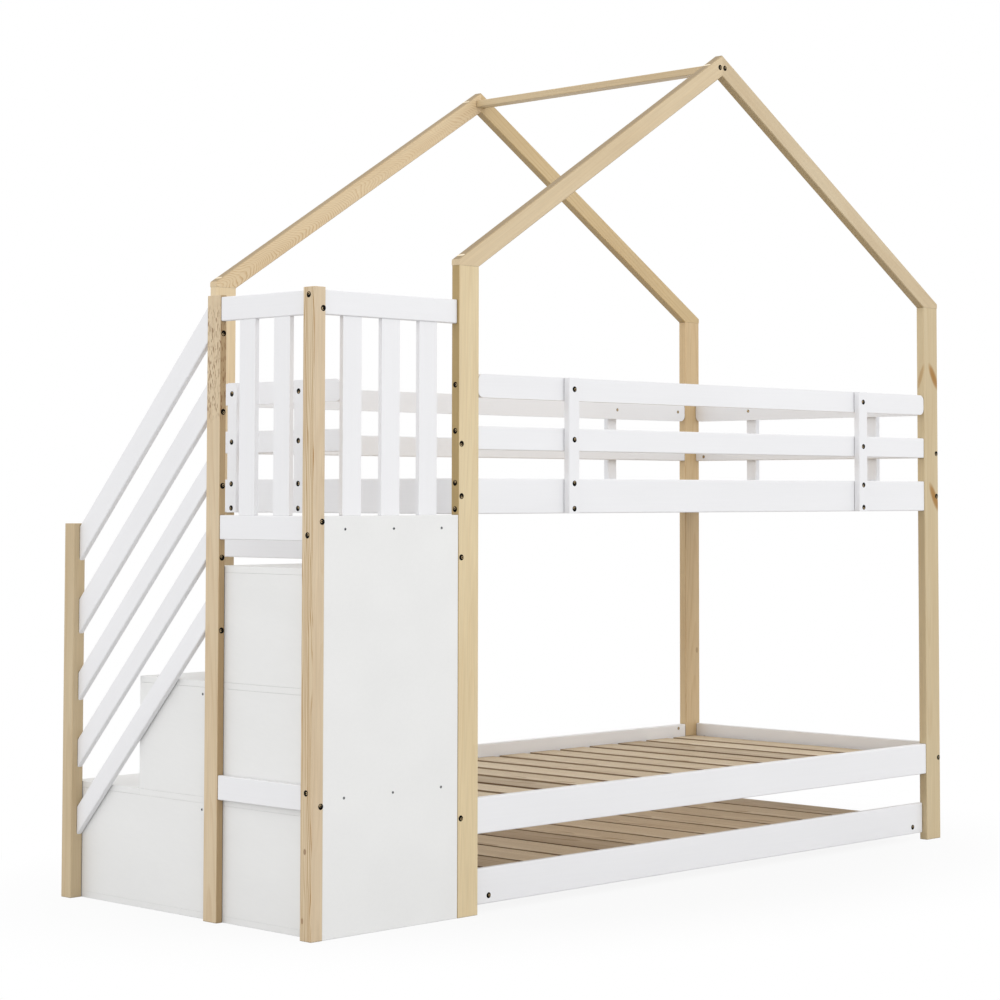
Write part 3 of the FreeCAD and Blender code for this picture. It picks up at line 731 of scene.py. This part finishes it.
def upright_places(inside):
    """Bolts on the uprights' outer faces, or the nuts behind them on the inner faces of the rails.

    Every upright has one in each guard rail and two in the main rail.
    """
    places = []
    for side, sign in {**FRONT_BACK, **LEFT_RIGHT}.items():
        axis, way = (0, CROSSWISE) if side in FRONT_BACK else (1, LENGTHWISE)
        sign = -sign if inside else sign
        uprights = f"{side}_guard_uprights"
        main = f"upper_{side}_rail" if axis == 0 else f"upper_{side}_end_rail"
        rails = [(f"{side}_guard_{at}_rail", middle(f"front_guard_{at}_rail").z) for at in GUARD_RAILS]
        rails += [(main, middle("upper_front_rail").z + up) for up in (BOLT_SPREAD, -BOLT_SPREAD)]
        # An upright is twice as wide as it is thick
        half = high(uprights)[1 - axis] - low(uprights)[1 - axis]
        for line in (low(uprights)[axis] + half, high(uprights)[axis] - half):
            for rail, z in rails:
                face = outer(rail if inside else uprights, 1 - axis, sign)
                places.append(((line, face, z) if axis == 0 else (face, line, z), way * sign))
    return places


def rail_nut_places():
    """Barrel nuts on the inner faces of the rails, a little way in from the posts."""
    places = []
    for side, forward in FRONT_BACK.items():
        rail = f"upper_{side}_rail"
        face = outer(rail, 1, -forward)
        for x in (low(rail).x + NUT_INSET, high(rail).x - NUT_INSET):
            places += [((x, face, z), CROSSWISE * -forward) for z in rail_heights(side)]
    for end, sideways in LEFT_RIGHT.items():
        rail = f"upper_{end}_end_rail"
        face = outer(rail, 0, -sideways)
        for y in (low(rail).y + NUT_INSET, high(rail).y - NUT_INSET):
            for z in end_rail_heights(end):
                guard = f"{end}_guard_middle_rail"
                if low(guard).z < z < high(guard).z and not low(guard).y < y < high(guard).y:
                    continue
                places.append(((face, y, z), LENGTHWISE * -sideways))
    return places


def stair_bolt_places():
    """Bolts in the corner post, the middle post and the newel of the stair."""
    corner, post, newel = "stair_corner_post", "stair_middle_post", "stair_newel_post"
    rails, boards = "platform_side_rails", "stair_banister_boards"
    bottom, top = low(rails).z, high(rails).z
    # Bolts from the left and from the front pass each other in the corner post
    levels = ((bottom + GUARD_HALF * MM, 1), (top - GUARD_DROP * MM, -1), (top - GUARD_HALF * MM, 1))
    places = []
    for z, way in levels:
        places.append(((low(corner).x, middle(corner).y, z + way * CROSSING), -LENGTHWISE))
    for z, way in levels:
        places.append(((high(corner).x - CORNER_INSET, low(corner).y, z - way * CROSSING), -CROSSWISE))
    for depth in BANISTER_BOLTS:
        z = high(boards).z - depth * MM
        places.append(((middle(post).x, low(post).y, z), -CROSSWISE))
        places.append(((middle(boards).x, high(newel).y, z - BANISTER_FALL * MM), CROSSWISE))
    return places


def panel_screw_places():
    """Screws that hold the stair's front panel and the side panels behind the middle post."""
    panel = "stair_front_panel"
    places = []
    for offset in SCREW_COLUMNS:
        for z in (high(panel).z - SCREW_DROP * MM, low(panel).z + SCREW_RISE * MM):
            places.append(((low(panel).x + offset * MM, low(panel).y, z), -CROSSWISE))
    x = low("stair_outer_panels").x
    y = high("stair_middle_post").y + SIDE_SCREW_INSET * MM
    return places + [((x, y, z * MM), -LENGTHWISE) for z in SIDE_SCREWS]


def trundle_bolt_places():
    """Two bolts that hold the pull-out bed's panel to the ends of its frame."""
    panel, rails = "trundle_front_panel", "trundle_end_rails"
    z = middle(rails).z
    # Half the thickness of an end rail
    half = 8 * MM
    return [((x, low(panel).y, z), -CROSSWISE) for x in (low(rails).x + half, high(rails).x - half)]


def ridge_bolt_places():
    """Heads of the two bolts at either end of the ridge, on the solids of the bolts."""
    bolts = "frame_bolts"
    half = (high(bolts).z - low(bolts).z) / 2
    return [
        ((x, face, middle(bolts).z), CROSSWISE * way)
        for face, way in ((low(bolts).y, -1), (high(bolts).y, 1))
        for x in (low(bolts).x + half, high(bolts).x - half)
    ]


def pocket_places():
    """Screw pockets on the upper edge of each rafter, near its eave and near the ridge."""
    places = []
    for side in FRONT_BACK:
        for end, sideways in LEFT_RIGHT.items():
            rafter = f"{side}_{end}_rafter"
            run = high(rafter).x - low(rafter).x
            normal = Vector((sideways * math.sin(ROOF_PITCH), 0, math.cos(ROOF_PITCH)))
            for share in POCKET_SHARES:
                x = outer(rafter, 0, sideways) - sideways * run * share
                z = high(rafter).z - run * (1 - share) * math.tan(ROOF_PITCH)
                places.append(((x, middle(rafter).y, z), normal))
    return places


# Operators


POSTS = {
    # node: share of dark wood (two is as brown as a long knot), tone, pith from the board's middle in mm,
    # lean of the grain, wander and ring in mm
    "front_left_post": (0.10, (0.95, 0.95, 0.90), (8, 62, 0), (0.004, 0.018, 1), 16, 4.6),
    "front_right_post": (0.14, (0.80, 0.79, 0.74), (-12, 48, 0), (0.006, -0.012, 1), 18, 4.4),
    "back_left_post": (0.12, (1.0, 0.99, 0.98), (10, 70, 0), (0.0, 0.01, 1), 14, 4.6),
    "back_right_post": (0.22, (0.83, 0.76, 0.66), (-6, 40, 0), (0.01, 0.02, 1), 20, 5.0),
    "stair_corner_post": (1.9, (0.90, 0.89, 0.91), (14, 62, 0), (0.004, 0.006, 1), 22, 5.2),
    "stair_middle_post": (0.20, (0.88, 0.86, 0.87), (60, 14, 0), (0.012, 0.01, 1), 14, 4.2),
    "stair_newel_post": (0.20, (0.77, 0.75, 0.72), (66, -12, 0), (0.008, 0.012, 1), 12, 4.2),
}

SPECIAL = {
    # node: late is where the late wood begins, sway its bends in mm, flecks lie between two heights, and
    # the side settings are where faces look that the saw cut another way, the painted shade that darkens
    # them, and their share of late wood
    # Painted shade on the front left post's left and right faces and the middle post's front and back faces
    "front_left_post": {"sides": (LENGTHWISE, (0.60, 0.52, 0.35), 1.0)},
    "stair_middle_post": {"sides": (CROSSWISE, (0.66, 0.58, 0.46), 1.0), "flecks": (1.22, 1.53)},
    "stair_corner_post": {"sides": (CROSSWISE, (0.97, 0.96, 0.98), 0.12), "late": 0.52, "sway": (24, 320)},
}

KNOTS = {
    # node: place from the board's low corner in mm, way that the knot grows, half sizes in mm and
    # depth of the brown
    "front_right_post": (
        ((49, 0, 1412), (0.5, 0, -0.86), (17, 15, 52), 1.0),
        ((49, 0, 1041), (0.47, 0, -0.88), (18, 15, 56), 1.0),
        ((0, 13, 1412), (0, 0.3, -0.95), (9, 8, 46), 0.5),
    ),
    "back_right_post": (((56, 0, 532), (0, 0, 1), (7, 7, 12), 0.6),),
    "stair_corner_post": (
        ((0, 24, 209), (0, 0, 1), (6, 6, 9), 0.95),
        ((0, 32, 47), (0, 0, 1), (5, 5, 9), 0.85),
    ),
}


def knots_of(node):
    """The knots of a board as places, turns, half sizes and depths for the material."""
    found = []
    for place, grows, half, depth in KNOTS.get(node, ()):
        turn = Vector(grows).to_track_quat("Z", "Y").to_euler()
        found.append((low(node) + Vector(place) * MM, turn, Vector(half) * MM, depth))
    return found


def pine_for(node, share, tone, pith, along, wander, ring_width, **more):
    """The lacquered pine of one board, with its own tone and grain."""
    finishes = bpy.context.scene.bunk_finishes
    light = shaded(finishes.pine_light, tone)
    dark = faded(light, shaded(finishes.pine_dark, tone), min(share, 1))
    dark = faded(dark, finishes.spike, max(share - 1, 0))
    at = middle(node) + Vector(pith) * MM
    more |= SPECIAL.get(node, {})
    grain = along, at, ring_width * MM, wander
    return pine(f"lacquered_pine_{node}", light, dark, *grain, knots=knots_of(node), **more)


class BUNK_OT_posts(bpy.types.Operator):
    """Finishes the corner posts and the stair's posts in lacquered pine"""

    bl_idname = "bunk.posts"
    bl_label = "Posts"

    def execute(self, context):
        for node, wood in POSTS.items():
            dress(node, pine_for(node, *wood))
        return {"FINISHED"}


RAFTERS = {
    # node: share of dark wood, tone, pith from the board's middle in mm, wander and ring in mm, lean of the
    # grain, and lean and bow of the arches
    "front_left_rafter": (0.10, (0.88, 0.865, 0.85), (0, 70, 20), 14, 4.4, 0.01, None),
    "front_right_rafter": (0.10, (0.81, 0.795, 0.78), (0, 76, -20), 14, 4.4, 0.01, None),
    "back_left_rafter": (0.55, (0.965, 0.945, 0.925), (0, 0, 0), 46, 3.4, 0.0, (0.3, 12)),
    "back_right_rafter": (0.22, (0.80, 0.74, 0.61), (0, 65, 30), 14, 4.6, 0.02, None),
}


class BUNK_OT_roof(bpy.types.Operator):
    """Finishes the rafters and the ridge beam in lacquered pine"""

    bl_idname = "bunk.roof"
    bl_label = "Roof"

    def execute(self, context):
        rise = math.tan(ROOF_PITCH)
        for node, (share, tone, pith, wander, ring_width, lean, arch) in RAFTERS.items():
            way = 1 if "left" in node else -1
            # Painted shade on the rafters' upper and lower edges, deeper on the left rafters than on the
            # right
            shade = (0.49, 0.43, 0.32) if way > 0 else (0.72, 0.68, 0.57)
            edges = (Vector((-way * rise, 0, 1)), shade, 0.1 if arch else 0.6)
            wood = pine_for(
                node, share, tone, pith, (way, lean, rise), wander, ring_width,
                sway=(80, 190) if arch else (90, 700), sides=edges, arch=arch,
            )
            dress(node, wood, soften=False)
        beam = pine_for("ridge_beam", 0.2, (0.80, 0.77, 0.72), (20, 0, 60), (0, 1, 0.01), 14, 4.4)
        dress("ridge_beam", beam, soften=False)
        # The ridge bolts' own solids take the near-black painted-shade steel too
        dress("frame_bolts", bronzed()[1], soften=False)
        bare = linear("#F8EBD2"), linear("#E6D0A8"), (1, 0, 0.6), (0, 0.03, 2.0), 4 * MM
        raw = [shared("raw_pine_in_screw_pockets", pine, *bare, lacquer=False)]
        fittings("rafter_screw_pockets", pocket_places(), screw_pocket, raw, spun=False)
        fittings("ridge_bolt_heads", ridge_bolt_places(), bolt_head, bronzed())
        return {"FINISHED"}


PAINTED = {
    # way of the grain: painted boards that run that way
    "lengthwise": ((1, 0, 0), (
        *(f"{level}_{side}_rail" for level in LEVELS for side in FRONT_BACK),
        *(f"{side}_guard_{place}_rail" for side in FRONT_BACK for place in GUARD_RAILS),
        "trundle_front_panel", "platform_front_rails",
    )),
    "crosswise": ((0, 1, 0), (
        *(f"{level}_{end}_end_rail" for level in LEVELS for end in LEFT_RIGHT),
        *(f"{end}_guard_{place}_rail" for end in LEFT_RIGHT for place in GUARD_RAILS),
        "platform_bearer_rail", "platform_side_rails",
    )),
    "upright": ((0, 0, 1), (
        *(f"{side}_guard_uprights" for side in (*FRONT_BACK, *LEFT_RIGHT)),
        "platform_side_slats", "platform_front_slats",
    )),
    "raked": ((0, -1, 1.04), ("stair_banister_boards",)),
}


class BUNK_OT_painted_rails(bpy.types.Operator):
    """Finishes the rails, guards and banister in white satin paint"""

    bl_idname = "bunk.painted_rails"
    bl_label = "Painted rails"

    def execute(self, context):
        paint = context.scene.bunk_finishes.paint
        tinted_against_bounce = shaded(paint, (0.98, 0.995, 1.015))
        for way, (along, nodes) in PAINTED.items():
            name = f"white_satin_paint_on_pine_{way}"
            for node in nodes:
                # Painted light: a cooler copy of the paint offsets the warm light that the slats below
                # throw on these boards
                if node.startswith(("back_guard", "right_guard")):
                    dress(node, shared(f"{name}_cool", satin_paint, tinted_against_bounce, along, 5))
                else:
                    dress(node, shared(name, satin_paint, paint, along, 5))
        return {"FINISHED"}


class BUNK_OT_stair_boards(bpy.types.Operator):
    """Finishes the stair's boxes in white painted fibreboard"""

    bl_idname = "bunk.stair_boards"
    bl_label = "Stair boards"

    def execute(self, context):
        finish = context.scene.bunk_finishes.board
        material = shared("white_satin_paint_on_fibreboard", satin_paint, finish, (0.3, 1, 0.2), 9)
        for node in (
            "stair_front_panel", "stair_outer_panels", "stair_inner_panels", "stair_risers",
            "stair_treads", "stair_shelves", "platform_board",
        ):
            dress(node, material)
        return {"FINISHED"}


SLAT_ROWS = {
    # node: number of slats and the gap between them in mm
    "upper_slats": (15, 30),
    "lower_slats": (15, 30),
    "trundle_slats": (12, 15),
}

BEARERS = {
    # node: way of the grain
    "upper_slat_ledgers": (1, 0, 0.01),
    "lower_slat_ledgers": (1, 0, 0.01),
    "trundle_cross_rails": (1, 0.01, 0),
    "trundle_end_rails": (0, 1, 0.01),
}

# Pith below a slat, and from the middle of a bearer
SLAT_PITH, BEARER_PITH = 40 * MM, Vector((0.02, 0.03, -0.05))
SLAT_WANDER = 18


class BUNK_OT_slats(bpy.types.Operator):
    """Finishes the slats, their ledgers and the pull-out bed's frame in bare pine"""

    bl_idname = "bunk.slats"
    bl_label = "Slats"

    def execute(self, context):
        finishes = context.scene.bunk_finishes
        ring_width = context.scene.bunk_fittings.ring_width
        light = tuple(finishes.slat_light)
        woods = light, faded(light, finishes.slat_dark, 0.8)
        # Painted shade on the slats' side faces, for the shade in the gaps between them
        edges = (LENGTHWISE, (0.5, 0.44, 0.38), 1.0)
        for node, (count, gap) in SLAT_ROWS.items():
            start = low(node).x - gap * MM / 2
            pitch = (high(node).x - low(node).x + gap * MM) / count
            grain = (0.01, 1, 0.012), (0, 0, low(node).z - SLAT_PITH), ring_width, SLAT_WANDER
            bays = (start, pitch)
            dress(node, pine(f"bare_pine_{node}", *woods, *grain, sides=edges, bays=bays, lacquer=False))
        for node, along in BEARERS.items():
            grain = along, middle(node) + BEARER_PITH, ring_width, SLAT_WANDER
            dress(node, pine(f"bare_pine_{node}", *woods, *grain, lacquer=False))
        return {"FINISHED"}


class BUNK_OT_bolts(bpy.types.Operator):
    """Adds the bronzed bolts of the posts, uprights, stair and pull-out bed"""

    bl_idname = "bunk.bolts"
    bl_label = "Bolts"

    def execute(self, context):
        for name, places, body in (
            ("post_bolts", post_bolt_places(), "bed_frame"),
            ("guard_upright_bolts", upright_places(inside=False), "bed_frame"),
            ("stair_post_bolts", stair_bolt_places(), "bed_frame"),
            ("trundle_panel_bolts", trundle_bolt_places(), "trundle_bed"),
        ):
            fittings(name, places, bolt_head, bronzed(), body)
        return {"FINISHED"}


class BUNK_OT_barrel_nuts(bpy.types.Operator):
    """Adds the ends of the barrel nuts on the inner faces of the rails"""

    bl_idname = "bunk.barrel_nuts"
    bl_label = "Barrel nuts"

    def execute(self, context):
        for name, places in (
            ("rail_barrel_nuts", rail_nut_places()),
            ("guard_barrel_nuts", upright_places(inside=True)),
        ):
            fittings(name, places, nut_end, bronzed())
        return {"FINISHED"}


class BUNK_OT_panel_screws(bpy.types.Operator):
    """Adds the small screws of the stair's panels"""

    bl_idname = "bunk.panel_screws"
    bl_label = "Panel screws"

    def execute(self, context):
        fittings("stair_panel_screws", panel_screw_places(), screw_head, zinc_plated())
        return {"FINISHED"}


# Turned profile of a wheel from its bore to its tread, as shares of its radius and of half its width
WHEEL_PROFILE = ((0.34, 1), (0.4, 0.7), (0.68, 0.7), (0.76, 0.95), (0.93, 0.85), (1, 0.55))
WHEEL_BORE = 4.1 * MM


class BUNK_OT_casters(bpy.types.Operator):
    """Finishes the casters and gives the wheels their turned tyres and hubs"""

    bl_idname = "bunk.casters"
    bl_label = "Casters"

    def execute(self, context):
        plastic = context.scene.bunk_finishes.plastic
        tyre = shared("moulded_tyre_plastic", moulded_plastic, shaded(plastic, grey(1.4)), 0.42)
        dress("caster_housings", shared("moulded_housing_plastic", moulded_plastic, plastic, 0.5))
        dress("caster_axles", zinc_plated()[0], soften=False)
        for place in ("front_left", "front_right", "back_left", "back_right"):
            node = f"{place}_caster_wheel"
            size = high(node) - low(node)
            shape = [(WHEEL_BORE, size.x / 2)]
            shape += [(size.z / 2 * out, size.x / 2 * across) for out, across in WHEEL_PROFILE]
            shape = [(radius, -height) for radius, height in shape] + shape[::-1]
            rings = [(circle(radius, height, count=48), BRIGHT) for radius, height in shape]
            stacks = [(seat_on(middle(node), LENGTHWISE), rings)]
            name, body = f"{place}_tyre_and_hub", f"{place}_wheel"
            wheel = skinned(name, stacks, [tyre], body, hollow=True)
            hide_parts(node)
        return {"FINISHED"}


def white_to_the_eye(tree):
    """One for rays from the camera, a gloss or a glass, and none for light that falls on the bed."""
    path = add_node(tree, "ShaderNodeLightPath").outputs
    seen = path["Is Camera Ray"]
    for ray in ("Is Glossy Ray", "Is Transmission Ray"):
        seen = add_node(tree, "ShaderNodeMath", [seen, path[ray]], operation="ADD", use_clamp=True)
    return seen


def pale_floor(name, colour, shadow):
    """A plain pale floor that shows as white, with the bed's shadow round its feet."""
    material, tree, place = new_material(name)
    seen = white_to_the_eye(tree)
    lit = add_node(tree, "ShaderNodeBsdfDiffuse", {"Color": (*colour, 1)})
    white = add_node(tree, "ShaderNodeEmission", {"Color": (1, 1, 1, 1), "Strength": 1.0})
    reach = add_node(tree, "ShaderNodeVectorMath", [place, (0.6, 0.85, 1)], operation="MULTIPLY")
    reach = add_node(tree, "ShaderNodeVectorMath", [reach], operation="LENGTH")
    share = [reach, 0.6, 1.2, shadow, 0.0]
    share = add_node(tree, "ShaderNodeMapRange", share, interpolation_type="SMOOTHSTEP")
    shown = add_node(tree, "ShaderNodeMixShader", [share, white, lit])
    floor = add_node(tree, "ShaderNodeMixShader", [seen, lit, shown])
    add_node(tree, "ShaderNodeOutputMaterial", {"Surface": floor})
    return material


FLOOR_HALF = 40.0

LAMPS = {
    # lamp and the setting of its power: place and width of its disk in metres
    "key": ((0.6, -5.5, 4.5), 4.0),
    "fill": ((-6.4, 1.2, 1.9), 4.5),
}

# Lamp under the bunk: its share of the low bed's slats, and how far it hangs below the rail
UNDER_SHARE, UNDER_DROP = 0.9, 10 * MM

# Where the photo was taken from, in metres and degrees
CAMERA_PLACE = (-5.182, -5.0651, 1.046)
CAMERA_TURN = (93.028, -0.016, -46.482)
CAMERA_SHIFT = (-0.075, -0.138)


class BUNK_OT_stage(bpy.types.Operator):
    """Adds the floor, the light and the camera"""

    bl_idname = "bunk.stage"
    bl_label = "Stage"

    def execute(self, context):
        scene = context.scene
        studio = scene.bunk_studio
        scene.view_settings.view_transform = "Standard"

        mesh = bpy.data.meshes.new("studio_floor")
        corners = [(x * FLOOR_HALF, y * FLOOR_HALF, 0) for x, y in ((-1, -1), (1, -1), (1, 1), (-1, 1))]
        mesh.from_pydata(corners, [], [(0, 1, 2, 3)])
        mesh.materials.append(pale_floor("pale_studio_floor", studio.floor, studio.shadow))
        floor = placed("studio_floor", mesh)

        world = bpy.data.worlds.new("even_studio_light")
        world.use_nodes = True
        tree = world.node_tree
        tree.nodes.clear()
        seen = white_to_the_eye(tree)
        way = add_node(tree, "ShaderNodeTexCoord").outputs["Generated"]
        height = add_node(tree, "ShaderNodeSeparateXYZ", [way]).outputs["Z"]
        shade = add_node(tree, "ShaderNodeMapRange", [height, 0.1, 0.9, studio.sky, studio.zenith])
        level = add_node(tree, "ShaderNodeMapRange", [seen, 0.0, 1.0, shade, 1.0])
        sky = add_node(tree, "ShaderNodeBackground", {"Color": (1, 1, 1, 1), "Strength": level})
        add_node(tree, "ShaderNodeOutputWorld", {"Surface": sky})
        scene.world = world

        aim = (CAD_BOX[0] + CAD_BOX[1]) / 2
        for name, (place, size) in LAMPS.items():
            lamp = bpy.data.lights.new(f"soft_{name}_lamp", "AREA")
            lamp.shape = "DISK"
            lamp.size = size
            lamp.energy = getattr(studio, name)
            turn = (aim - Vector(place)).to_track_quat("-Z", "Y").to_euler()
            placed(lamp.name, lamp, place).rotation_euler = turn

        slats = "trundle_slats"
        lamp = bpy.data.lights.new("soft_under_bunk_lamp", "AREA")
        lamp.shape = "RECTANGLE"
        lamp.size, lamp.size_y = (high(slats) - low(slats)).xy * UNDER_SHARE
        lamp.energy = studio.under
        placed(lamp.name, lamp, (*middle(slats).xy, low("lower_front_rail").z - UNDER_DROP))

        view = bpy.data.cameras.new("three_quarter_view")
        view.sensor_width = 36
        view.lens = studio.lens
        view.shift_x, view.shift_y = CAMERA_SHIFT
        view.clip_end = 200
        scene.camera = placed("three_quarter_view", view, CAMERA_PLACE)
        scene.camera.rotation_euler = [math.radians(angle) for angle in CAMERA_TURN]
        return {"FINISHED"}


STEPS = (
    BUNK_OT_posts,
    BUNK_OT_roof,
    BUNK_OT_painted_rails,
    BUNK_OT_stair_boards,
    BUNK_OT_slats,
    BUNK_OT_bolts,
    BUNK_OT_barrel_nuts,
    BUNK_OT_panel_screws,
    BUNK_OT_casters,
    BUNK_OT_stage,
)


class BUNK_PT_sidebar(bpy.types.Panel):
    """The bed's steps and settings"""

    bl_idname = "BUNK_PT_sidebar"
    bl_label = "Bunk bed"
    bl_space_type = "VIEW_3D"
    bl_region_type = "UI"
    bl_category = "Bunk bed"

    def draw(self, context):
        for step in STEPS:
            self.layout.operator(step.bl_idname)
        scene = context.scene
        for settings in (scene.bunk_finishes, scene.bunk_fittings, scene.bunk_studio):
            column = self.layout.column()
            for name in settings.__annotations__:
                column.prop(settings, name)


CLASSES = (BunkFinishes, BunkFittings, BunkStudio, *STEPS, BUNK_PT_sidebar)


def register():
    for each in CLASSES:
        bpy.utils.register_class(each)
    bpy.types.Scene.bunk_finishes = PointerProperty(type=BunkFinishes)
    bpy.types.Scene.bunk_fittings = PointerProperty(type=BunkFittings)
    bpy.types.Scene.bunk_studio = PointerProperty(type=BunkStudio)


def unregister():
    del bpy.types.Scene.bunk_studio
    del bpy.types.Scene.bunk_fittings
    del bpy.types.Scene.bunk_finishes
    for each in reversed(CLASSES):
        bpy.utils.unregister_class(each)


def main():
    """Registers the add-on and runs its steps in order."""
    register()
    for step in STEPS:
        group, name = step.bl_idname.split(".")
        getattr(getattr(bpy.ops, group), name)()
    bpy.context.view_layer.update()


if __name__ == "__main__":
    main()
